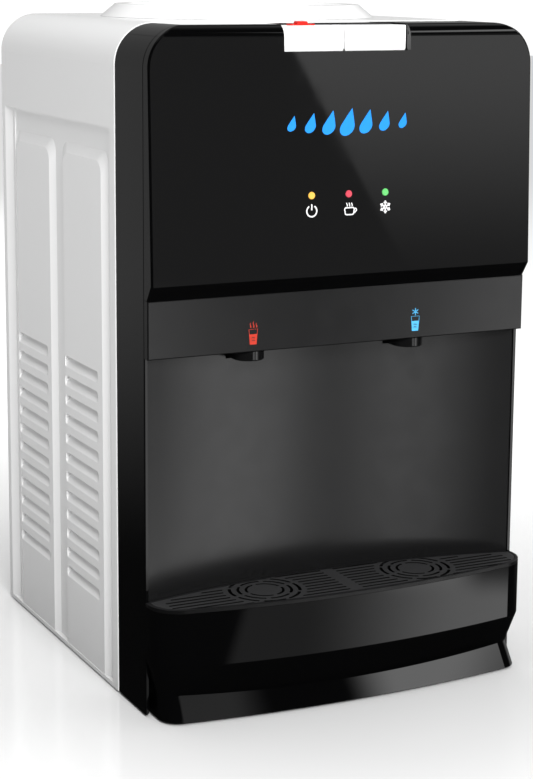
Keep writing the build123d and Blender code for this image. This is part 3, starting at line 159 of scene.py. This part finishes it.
# ------------------------------------------------------------------ studio
# Soft boxes that only reflections see. Azimuth 0 is straight in front and grows towards +X;
# angles in degrees. Each row: azimuth span, elevation span, softness of its (left, right) and
# (low, high) sides, strength, slant.
SOFT_CARDS = (
    # Tall window to the right: crisp, leaning left side, fading downwards.
    ((27.0, 60.0), (-2.4, 5.0), ((0.1, 4.0), (3.5, 3.0)), 0.95, 0.5),
    # Low boxes: two on the right and one on the left, with a dark gap between them.
    ((31.6, 46.5), (-17.7, -6.5), ((1.6, 3.5), (0.5, 1.2)), 1.8, 0.0),
    ((33.0, 57.0), (-27.0, -17.7), ((14.0, 4.0), (3.0, 0.5)), 1.6, 0.0),
    ((10.5, 23.0), (-17.7, -6.8), ((3.0, 1.6), (0.5, 1.2)), 1.5, 0.0),
    # Dim wall behind them, and a leaning one below it.
    ((14.0, 58.0), (-15.0, 12.0), ((2.0, 4.0), (1.0, 6.0)), 0.23, 0.0),
    ((39.0, 86.0), (-26.0, -15.0), ((1.2, 4.0), (3.0, 1.0)), 0.26, -1.5),
    # High boxes seen in the sloping foot.
    ((34.5, 70.0), (27.0, 39.0), ((3.5, 12.0), (3.0, 2.5)), 2.9, 0.0),
    ((0.0, 19.0), (27.0, 39.0), ((6.0, 3.0), (3.0, 2.5)), 0.45, 0.0),
    # Boxes high on the left, on the right, behind (in two halves) and overhead.
    ((-75.0, -35.0), (48.0, 62.0), ((8.0, 8.0), (6.0, 10.0)), 0.6, 0.0),
    ((95.0, 135.0), (-10.0, 60.0), ((8.0, 8.0), (10.0, 15.0)), 0.5, 0.0),
    ((146.0, 180.0), (-13.0, 60.0), ((6.0, 1.0), (4.5, 15.0)), 0.2, 0.0),
    ((-180.0, -150.0), (-13.0, 60.0), ((1.0, 6.0), (4.5, 15.0)), 0.2, 0.0),
    ((-181.0, 181.0), (66.0, 91.0), ((0.5, 0.5), (8.0, 0.5)), 0.2, 0.0),
)
# Brightness of the surroundings: between the boxes in reflections, as even fill light, and
# straight to the camera.
GLOSS_BASE = 0.01
AMBIENT = 0.07
BACKDROP = 1.05
WHITE = (1.0, 1.0, 1.0, 1.0)


def soft_card(tree, azimuth, elevation, row):
    """Brightness of one soft box; its slant leans the left and right sides."""
    az_span, el_span, (az_soft, el_soft), strength, slant = row
    across = tree.math("MULTIPLY_ADD", elevation, slant, azimuth)
    card = strength
    for angle, (low, high), (soft_low, soft_high) in (
        (across, az_span, az_soft),
        (elevation, el_span, el_soft),
    ):
        rise = tree.ramp(angle, low - soft_low, low + soft_low)
        fall = tree.ramp(angle, high - soft_high, high + soft_high, 1.0, 0.0)
        card = tree.math("MULTIPLY", tree.math("MULTIPLY", rise, fall), card)
    return card


def make_world():
    """Pale backdrop for the camera, soft boxes for reflections and an even fill light."""
    world = bpy.data.worlds.new("studio")
    scene.world = world
    tree = Tree(world)
    axis = tree.add("ShaderNodeSeparateXYZ")
    tree.feed(axis.inputs[0], tree.add("ShaderNodeTexCoord").outputs["Generated"])
    x, y, z = axis.outputs
    azimuth = tree.math("DEGREES", tree.math("ARCTAN2", x, tree.math("MULTIPLY", y, -1.0)))
    elevation = tree.math("DEGREES", tree.math("ARCSINE", z))
    level = GLOSS_BASE
    for row in SOFT_CARDS:
        level = tree.math("ADD", level, soft_card(tree, azimuth, elevation, row))
    ray = tree.add("ShaderNodeLightPath")
    strength = tree.math("MULTIPLY", ray.outputs["Is Glossy Ray"], level)
    strength = tree.math("MULTIPLY_ADD", ray.outputs["Is Camera Ray"], BACKDROP, strength)
    strength = tree.math("MULTIPLY_ADD", ray.outputs["Is Diffuse Ray"], AMBIENT, strength)
    background = tree.add("ShaderNodeBackground")
    background.inputs["Color"].default_value = WHITE
    tree.feed(background.inputs["Strength"], strength)
    tree.close("ShaderNodeOutputWorld", background)


# Name, place, (width, height) in metres and power in watts. Each one aims at LIGHT_TARGET.
LIGHTS = (
    ("key_front", (-0.55, -2.6, 1.6), (1.4, 1.0), 104.0),
    ("top", (0.0, 0.2, 2.6), (2.4, 2.4), 49.0),
    ("fill_right", (2.6, -0.2, 0.9), (1.4, 1.2), 9.0),
    ("rear", (0.4, 2.6, 1.4), (1.6, 1.4), 20.0),
)
LIGHT_TARGET = Vector((0.0, 0.0, 0.25))


def make_light(name, place, size, power):
    """Rectangular soft light that shapes the plastics but leaves no card in reflections."""
    data = bpy.data.lights.new(name, "AREA")
    data.shape = "RECTANGLE"
    data.size, data.size_y = size
    data.energy = power
    light = bpy.data.objects.new(name, data)
    light.location = place
    light.rotation_euler = (LIGHT_TARGET - Vector(place)).to_track_quat("-Z", "Y").to_euler()
    light.visible_glossy = False
    scene.collection.objects.link(light)


FLOOR_HALF = 9.0
FLOOR_CELLS = 8
FLOOR_COLOR = (0.82, 0.82, 0.82, 1.0)
FLOOR_ROUGHNESS = (0.1, 0.13)
FLOOR_PATCHES = 3.0
FLOOR_NOISE = (0.3, 0.7)
FLOOR_GLOW = 0.56
GLOW_FROM, GLOW_FULL = 0.15, 0.9


def make_floor():
    """Wide pale floor that mirrors the object softly and glows into the backdrop further out."""
    bm = bmesh.new()
    bmesh.ops.create_grid(bm, x_segments=FLOOR_CELLS, y_segments=FLOOR_CELLS, size=FLOOR_HALF)
    mesh = bpy.data.meshes.new("floor")
    bm.to_mesh(mesh)
    bm.free()
    floor = bpy.data.objects.new("floor", mesh)
    scene.collection.objects.link(floor)
    material = bpy.data.materials.new("floor_white")
    tree = Tree(material)
    shader = tree.add("ShaderNodeBsdfPrincipled")
    shader.inputs["Base Color"].default_value = FLOOR_COLOR
    gloss = tree.ramp(tree.noise(FLOOR_PATCHES), *FLOOR_NOISE, *FLOOR_ROUGHNESS)
    tree.feed(shader.inputs["Roughness"], gloss)
    distance = tree.add("ShaderNodeVectorMath", operation="LENGTH")
    tree.feed(distance.inputs[0], tree.add("ShaderNodeTexCoord").outputs["Object"])
    shader.inputs["Emission Color"].default_value = WHITE
    glow = tree.ramp(distance.outputs["Value"], GLOW_FROM, GLOW_FULL, 0.0, FLOOR_GLOW)
    tree.feed(shader.inputs["Emission Strength"], glow)
    tree.close("ShaderNodeOutputMaterial", shader)
    mesh.materials.append(material)
    floor.visible_glossy = False


make_world()
for light_row in LIGHTS:
    make_light(*light_row)
make_floor()
scene.view_settings.view_transform = "Standard"


# ------------------------------------------------------------------ materials
# Features per metre of the tone drift and of the uneven gloss.
DRIFT_SCALE = 9.0
GLOSS_SCALE = 60.0
# Noise values that give the lowest and the highest roughness.
GLOSS_NOISE = (0.35, 0.65)
# Upward share of a face's normal for the painted shade on walls: below the first it is a wall and gets the
# full painted shade, above the second it gets none.
PAINTED_SHADE_LIMITS = (0.55, 0.95)


def finish_material(name, color, roughness, metallic=0.0, grain=None, shade=0.04, painted_wall_shade=None):
    """Moulded or worked surface: slight tone drift, uneven gloss and a fine grain.

    roughness is (low, high); grain is (features per metre, bump strength, height in metres);
    shade is the drift's share of the color; painted_wall_shade is painted shade: a darker color given to
    faces that don't look up, such as the sides of a slot.
    """
    material = bpy.data.materials.new(name)
    tree = Tree(material)
    shader = tree.add("ShaderNodeBsdfPrincipled")
    dark = [channel * (1.0 - shade) for channel in color]
    light = [min(1.0, channel * (1.0 + shade)) for channel in color]
    base = tree.blend(tree.noise(DRIFT_SCALE, detail=3.0), dark, light)
    # Painted shade: faces that don't look up, such as slot sides, get a darker color in place of the shade
    # that falls in there.
    if painted_wall_shade:
        facing = tree.add("ShaderNodeSeparateXYZ")
        tree.feed(facing.inputs[0], tree.add("ShaderNodeNewGeometry").outputs["True Normal"])
        base = tree.blend(tree.ramp(facing.outputs["Z"], *PAINTED_SHADE_LIMITS), painted_wall_shade, base)
    tree.feed(shader.inputs["Base Color"], base)
    gloss = tree.ramp(tree.noise(GLOSS_SCALE, detail=4.0), *GLOSS_NOISE, *roughness)
    tree.feed(shader.inputs["Roughness"], gloss)
    shader.inputs["Metallic"].default_value = metallic
    if grain:
        scale, strength, height = grain
        tree.feed(shader.inputs["Normal"], tree.bump(tree.noise(scale), strength, height))
    tree.close("ShaderNodeOutputMaterial", shader)
    return material


FINISHES = {
    "white_plastic": dict(
        color=(0.82, 0.82, 0.82), roughness=(0.26, 0.26), shade=0.0),
    "black_gloss": dict(
        color=(0.0012, 0.0012, 0.0013), roughness=(0.02, 0.035), shade=0.1),
    "black_satin": dict(
        color=(0.0035, 0.0035, 0.0037), roughness=(0.16, 0.18), grain=(2500, 0.05, 0.00005), shade=0.08),
    "button_white": dict(
        color=(0.93, 0.93, 0.93), roughness=(0.14, 0.2), grain=(900, 0.04, 0.0001), shade=0.01),
    "lock_red": dict(
        color=(0.75, 0.02, 0.012), roughness=(0.2, 0.26), grain=(1200, 0.05, 0.0001)),
    "rocker_green": dict(
        color=(0.02, 0.33, 0.06), roughness=(0.18, 0.26), grain=(1200, 0.05, 0.0001)),
    "lens_amber": dict(color=(0.85, 0.45, 0.08), roughness=(0.12, 0.2)),
    "lens_red": dict(color=(0.55, 0.06, 0.09), roughness=(0.12, 0.2)),
    "lens_green": dict(color=(0.12, 0.5, 0.14), roughness=(0.12, 0.2)),
    "link_plastic": dict(
        color=(0.72, 0.72, 0.69), roughness=(0.4, 0.5), grain=(1500, 0.1, 0.0001)),
    "silicone": dict(
        color=(0.78, 0.79, 0.78), roughness=(0.35, 0.45), grain=(900, 0.08, 0.0001)),
    "spring_steel": dict(color=(0.6, 0.6, 0.62), roughness=(0.22, 0.32), metallic=1.0),
    "zinc_sheet": dict(
        color=(0.5, 0.51, 0.53), roughness=(0.3, 0.5), metallic=1.0, grain=(60, 0.1, 0.0002), shade=0.2),
    "painted_sheet": dict(
        color=(0.78, 0.78, 0.78), roughness=(0.35, 0.45), grain=(1100, 0.15, 0.0001), shade=0.02),
    "rubber_black": dict(
        color=(0.018, 0.018, 0.018), roughness=(0.6, 0.75), grain=(1800, 0.2, 0.0001)),
    "stainless": dict(color=(0.6, 0.6, 0.61), roughness=(0.2, 0.34), metallic=1.0, shade=0.06),
    "copper": dict(color=(0.7, 0.33, 0.18), roughness=(0.22, 0.4), metallic=1.0, shade=0.15),
    "black_enamel": dict(
        color=(0.015, 0.015, 0.015), roughness=(0.3, 0.42), grain=(900, 0.12, 0.0001)),
    "foam": dict(
        color=(0.85, 0.84, 0.8), roughness=(0.7, 0.85), grain=(500, 0.5, 0.0004)),
    "jacket_felt": dict(
        color=(0.6, 0.58, 0.52), roughness=(0.8, 0.95), grain=(1600, 0.7, 0.0004), shade=0.15),
    "board_green": dict(
        color=(0.02, 0.2, 0.07), roughness=(0.25, 0.35), grain=(700, 0.2, 0.0001), shade=0.2),
    # Black mouldings whose gloss differs from the other satin ones; the tray and basin ones also get
    # painted shade, a darker color on the sides of their slots.
    "tray_satin": dict(
        color=(0.034, 0.034, 0.035), roughness=(0.5, 0.58), grain=(2200, 0.12, 0.00005),
        painted_wall_shade=(0.002, 0.002, 0.002)),
    "wall_satin": dict(
        color=(0.007, 0.007, 0.0072), roughness=(0.21, 0.23), grain=(2500, 0.05, 0.00005), shade=0.06),
    "basin_satin": dict(
        color=(0.01, 0.01, 0.0105), roughness=(0.34, 0.4), grain=(2500, 0.06, 0.00005),
        painted_wall_shade=(0.0035, 0.0035, 0.0037)),
    "spout_satin": dict(
        color=(0.004, 0.004, 0.0042), roughness=(0.1, 0.14), grain=(2500, 0.04, 0.00005), shade=0.06),
}
MATERIALS = {name: finish_material(name, **finish) for name, finish in FINISHES.items()}

# Nodes that don't wear the finish named after their slot.
OWN_FINISH = {
    "backsplash": "wall_satin",
    "drip_tray": "basin_satin",
    "drip_grille": "tray_satin",
    "hot_spout": "spout_satin",
    "cold_spout": "spout_satin",
}

for subpart in frame["record"]["subparts"]:
    finish_name = OWN_FINISH.get(subpart["node"], subpart["material_slot"])
    for holder in nodes[subpart["node"]].material_slots:
        holder.material = MATERIALS[finish_name]


# ------------------------------------------------------------------ printed marks
# Pad-printed inks: the slot that each one is counted in, and its color.
INK_ROWS = {
    "white": ("button_white", (0.8, 0.8, 0.8)),
    "red": ("lock_red", (0.5, 0.03, 0.012)),
    "cyan": ("button_white", (0.07, 0.42, 0.75)),
    "blue": ("button_white", (0.012, 0.24, 0.78)),
    "black": ("black_satin", (0.015, 0.015, 0.015)),
}
INK_FINISH = dict(roughness=(0.35, 0.45), grain=(2200, 0.08, 0.00004), shade=0.05)
INKS = {
    ink: finish_material(f"ink_{ink}", color, **INK_FINISH)
    for ink, (_, color) in INK_ROWS.items()
}
# Millimetres, like every size of the marks.
INK_PROUD = 0.06
INK_SINK = 0.03
TOP_COAT = 0.04
RAY_START = -500.0
# Corners that agree to this many digits are one corner.
CORNER_DIGITS = 4


def arc_points(center, radius, start, end, steps):
    """Points along an arc; angles in degrees, 0 towards +X and 90 upwards."""
    points = []
    for step in range(steps + 1):
        angle = radians(start + (end - start) * step / steps)
        points.append((center[0] + radius * cos(angle), center[1] + radius * sin(angle)))
    return points


def stroke(points, widths, closed=False):
    """Quads of a pen stroke along points; widths is one number or one per point."""
    if not isinstance(widths, (list, tuple)):
        widths = [widths] * len(points)
    count = len(points)
    left, right = [], []
    for index, (point, width) in enumerate(zip(points, widths)):
        before = points[index - 1] if index or closed else point
        after = points[(index + 1) % count] if index + 1 < count or closed else point
        along = Vector((after[0] - before[0], after[1] - before[1])).normalized()
        across = Vector((-along.y, along.x)) * width / 2
        left.append((point[0] + across.x, point[1] + across.y))
        right.append((point[0] - across.x, point[1] - across.y))
    if closed:
        left.append(left[0])
        right.append(right[0])
    return [(left[i], right[i], right[i + 1], left[i + 1]) for i in range(len(left) - 1)]


def front_of(node, x, z):
    """Y in metres of a CAD node's front face at x, z in mm."""
    start = Vector((x, RAY_START, z)) * MM
    hit, place, _, _ = nodes[node].ray_cast(start, Vector((0.0, 1.0, 0.0)))
    if not hit:
        raise RuntimeError(f"nothing of {node} at {x:.1f}, {z:.1f}")
    return place.y


def print_mark(name, node, center, faces, ink, lift=0.0, slant=0.0):
    """Thin layer of ink on a CAD node's front; faces are polygons in mm about center (x, z)."""
    bm = bmesh.new()
    corners = {}
    for face in faces:
        ring = []
        for u, v in face:
            key = (round(u, CORNER_DIGITS), round(v, CORNER_DIGITS))
            if key not in corners:
                x = center[0] + u + slant * v
                z = center[1] + v
                y = front_of(node, x, z) - (INK_PROUD + lift) * MM
                corners[key] = bm.verts.new((x * MM, y, z * MM))
            if corners[key] not in ring:
                ring.append(corners[key])
        bm.faces.new(ring)
    bmesh.ops.recalc_face_normals(bm, faces=bm.faces)
    skin = bmesh.ops.extrude_face_region(bm, geom=list(bm.faces))
    back = [item for item in skin["geom"] if isinstance(item, bmesh.types.BMVert)]
    bmesh.ops.translate(bm, verts=back, vec=(0.0, (INK_PROUD + lift + INK_SINK) * MM, 0.0))
    bmesh.ops.recalc_face_normals(bm, faces=bm.faces)
    mesh = bpy.data.meshes.new(name)
    bm.to_mesh(mesh)
    bm.free()
    mesh.materials.append(INKS[ink])
    mark = bpy.data.objects.new(name, mesh)
    scene.collection.objects.link(mark)
    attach(mark, "casing")


POWER_PEN = 1.0
POWER_RADIUS = 4.0
POWER_HALF_GAP = 32.0


def power_sign():
    """Open ring with a bar through the gap."""
    arc = arc_points((0, -0.3), POWER_RADIUS, 90 + POWER_HALF_GAP, 450 - POWER_HALF_GAP, 40)
    return stroke(arc, POWER_PEN) + stroke([(0, 4.6), (0, 2.5), (0, 0.4)], POWER_PEN)


MUG_CORNERS = ((2.6, -0.2), (-2.6, -0.2), (-2.2, -2.6), (2.2, -2.6))
MUG_CORNER_R = 1.3
MUG_HANDLE = ((4.3, 0.6), (5.3, 0.3), (5.8, -0.7), (5.1, -1.8), (4.0, -2.6))
MUG_PEN, HANDLE_PEN, WISP_PEN = 0.85, 0.9, 0.7


def mug_sign():
    """Rounded mug with a handle on its right and three wisps of steam."""
    outline = []
    for quarter, corner in enumerate(MUG_CORNERS):
        outline += arc_points(corner, MUG_CORNER_R, quarter * 90, quarter * 90 + 90, 6)
    faces = stroke(outline, MUG_PEN, closed=True) + stroke(MUG_HANDLE, HANDLE_PEN)
    for x in (-2.0, 0.0, 2.0):
        wisp = [(x + 0.3 * sin(step * 0.9), 2.0 + 0.45 * step) for step in range(7)]
        faces += stroke(wisp, WISP_PEN)
    return faces


# Arm share at which a barb starts, its length as a share of the arm, and its turn in radians.
BARB_FROM, BARB_LENGTH, BARB_TURN = 0.52, 0.36, 0.8


def snowflake(radius, width, barbs=True):
    """Six arms, each with a pair of barbs if wanted."""
    faces = []
    for arm in range(6):
        heading = arm * pi / 3
        along = Vector((sin(heading), cos(heading)))
        faces += stroke([tuple(along * width * 0.45), tuple(along * radius)], width)
        if not barbs:
            continue
        root = along * radius * BARB_FROM
        for turn in (-BARB_TURN, BARB_TURN):
            out = Vector((sin(heading + turn), cos(heading + turn)))
            faces += stroke([tuple(root), tuple(root + out * radius * BARB_LENGTH)], width * 0.8)
    return faces


GLASS_TOP = 3.4
GLASS_BOTTOM = 2.5
GLASS_HIGH = 11.0
GLASS_PEN = 0.4
WATER_HIGH = 7.4


def glass_sign():
    """Outline of a tapered drinking glass, filled about two thirds up."""
    outline = [(-GLASS_TOP, GLASS_HIGH), (-GLASS_BOTTOM, 0.0), (GLASS_BOTTOM, 0.0), (GLASS_TOP, GLASS_HIGH)]
    faces = stroke(outline, GLASS_PEN, closed=True)
    reach = GLASS_BOTTOM + (GLASS_TOP - GLASS_BOTTOM) * WATER_HIGH / GLASS_HIGH - 0.15
    low = GLASS_BOTTOM - 0.1
    faces.append(((-low, 0.1), (low, 0.1), (reach, WATER_HIGH), (-reach, WATER_HIGH)))
    return faces


def ripples():
    """Two short waves across the filled part."""
    faces = []
    for z in (2.6, 4.6):
        wave = [
            (-1.3 + 0.2 * step, z + 0.35 * sin(step * 0.48 - 0.5) + 0.04 * step)
            for step in range(14)
        ]
        faces += stroke(wave, 0.55)
    return faces


def steam():
    """Three tapering wisps over the glass."""
    faces = []
    for x, high in ((-2.2, 3.6), (0.2, 4.6), (2.5, 3.2)):
        wisp = [(x + 0.35 * sin(step * 1.1), GLASS_HIGH + 1.2 + high * step / 6) for step in range(7)]
        faces += stroke(wisp, [0.9 - 0.11 * step for step in range(7)])
    return faces


def drop(size):
    """Water drop, pointed at the top."""
    ring = arc_points((0, -0.25 * size), 0.36 * size, 160, 380, 18)
    ring += [(0.2 * size, 0.2 * size), (0.0, 0.62 * size), (-0.2 * size, 0.2 * size)]
    return ring


def middle(node):
    """Centre of a CAD node, in mm."""
    low, high = (Vector(corner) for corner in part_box(node))
    return (low + high) / (2.0 * MM)


SIGN_PITCH = 30.0
SIGN_BELOW_LENS = 10.8
MUG_SHIFT = (0.5, -0.3)


def print_panel_signs():
    """Power, hot and cold signs, one below each lamp."""
    z = middle("power_lens").z - SIGN_BELOW_LENS
    print_mark("sign_power", "front_panel", (-SIGN_PITCH, z), power_sign(), "white")
    print_mark("sign_mug", "front_panel", (MUG_SHIFT[0], z + MUG_SHIFT[1]), mug_sign(), "white")
    print_mark("sign_snow", "front_panel", (SIGN_PITCH, z), snowflake(4.6, 1.1), "white")


GLASS_OVER_EDGE = 5.5
HOT_SHIFT, COLD_SHIFT = -2.0, -0.5
FLAKE_OVER_GLASS = 3.4


def print_band_signs():
    """A steaming red glass over the hot spout and a blue one with a flake over the cold spout."""
    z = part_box("spout_band")[0][2] / MM + GLASS_OVER_EDGE
    hot = (middle("hot_spout").x + HOT_SHIFT, z)
    cold = (middle("cold_spout").x + COLD_SHIFT, z)
    flake = (cold[0], z + GLASS_HIGH + FLAKE_OVER_GLASS)
    print_mark("sign_hot", "spout_band", hot, glass_sign() + steam(), "red")
    print_mark("sign_hot_ripples", "spout_band", hot, ripples(), "black", lift=TOP_COAT)
    print_mark("sign_cold", "spout_band", cold, glass_sign(), "cyan")
    print_mark("sign_cold_flake", "spout_band", flake, snowflake(2.8, 0.6, barbs=False), "cyan")
    print_mark("sign_cold_ripples", "spout_band", cold, ripples(), "black", lift=TOP_COAT)


DROP_SIZES = (9.0, 11.5, 14.0, 16.0, 14.0, 11.5, 9.0)
DROP_PITCH = 15.0
DROP_SLANT = 0.3
DROPS_BELOW_TOP = 69.5


def print_drops():
    """A row of leaning water drops across the panel, the biggest in the middle."""
    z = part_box("front_panel")[1][2] / MM - DROPS_BELOW_TOP
    first_x = -DROP_PITCH * (len(DROP_SIZES) - 1) / 2
    for index, size in enumerate(DROP_SIZES):
        place = (first_x + DROP_PITCH * index, z)
        print_mark(f"drop_{index}", "front_panel", place, [drop(size)], "blue", slant=DROP_SLANT)


print_panel_signs()
print_band_signs()
print_drops()


# ------------------------------------------------------------------ return springs
WIRE_R = 0.0006
WIRE_BEVEL_STEPS = 3
SPRING_TURNS = 7.5
POINTS_PER_TURN = 20
CLOSED_PITCH = 2.2 * WIRE_R


def spring_points(center, radius, bottom, top):
    """Centre line of the wire; the first and last turns are closed, the others share the height."""
    active_turns = SPRING_TURNS - 2.0
    active_height = top - bottom - 2.0 * CLOSED_PITCH
    for step in range(int(SPRING_TURNS * POINTS_PER_TURN) + 1):
        turn = step / POINTS_PER_TURN
        active = min(max(turn - 1.0, 0.0), active_turns) / active_turns
        ends = min(turn, 1.0) + max(turn - SPRING_TURNS + 1.0, 0.0)
        z = bottom + CLOSED_PITCH * ends + active_height * active
        angle = 2.0 * pi * turn
        yield (center.x + radius * cos(angle), center.y + radius * sin(angle), z, 1.0)


def make_spring(side):
    """Coil spring with closed end turns, fitted to the box of the CAD spring it replaces."""
    node = f"{side}_return_spring"
    low, high = (Vector(corner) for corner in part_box(node))
    center = (low + high) / 2
    radius = (high.x - low.x) / 2 - WIRE_R
    curve = bpy.data.curves.new(f"{side}_spring_wire", "CURVE")
    curve.dimensions = "3D"
    curve.bevel_depth = WIRE_R
    curve.bevel_resolution = WIRE_BEVEL_STEPS
    curve.use_fill_caps = True
    wire = curve.splines.new("NURBS")
    places = list(spring_points(center, radius, low.z + WIRE_R, high.z - WIRE_R))
    wire.points.add(len(places) - 1)
    wire.use_endpoint_u = True
    wire.order_u = 3
    for point, place in zip(wire.points, places):
        point.co = place
    shape = bpy.data.objects.new(f"{side}_spring_shape", curve)
    scene.collection.objects.link(shape)
    bpy.context.view_layer.update()
    mesh = bpy.data.meshes.new_from_object(shape)
    bpy.data.objects.remove(shape)
    for polygon in mesh.polygons:
        polygon.use_smooth = True
    spring = bpy.data.objects.new(f"{side}_coil_spring", mesh)
    mesh.materials.clear()
    mesh.materials.append(MATERIALS["spring_steel"])
    scene.collection.objects.link(spring)
    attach(spring, "casing")
    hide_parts(node)
    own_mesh(spring)


make_spring("hot")
make_spring("cold")
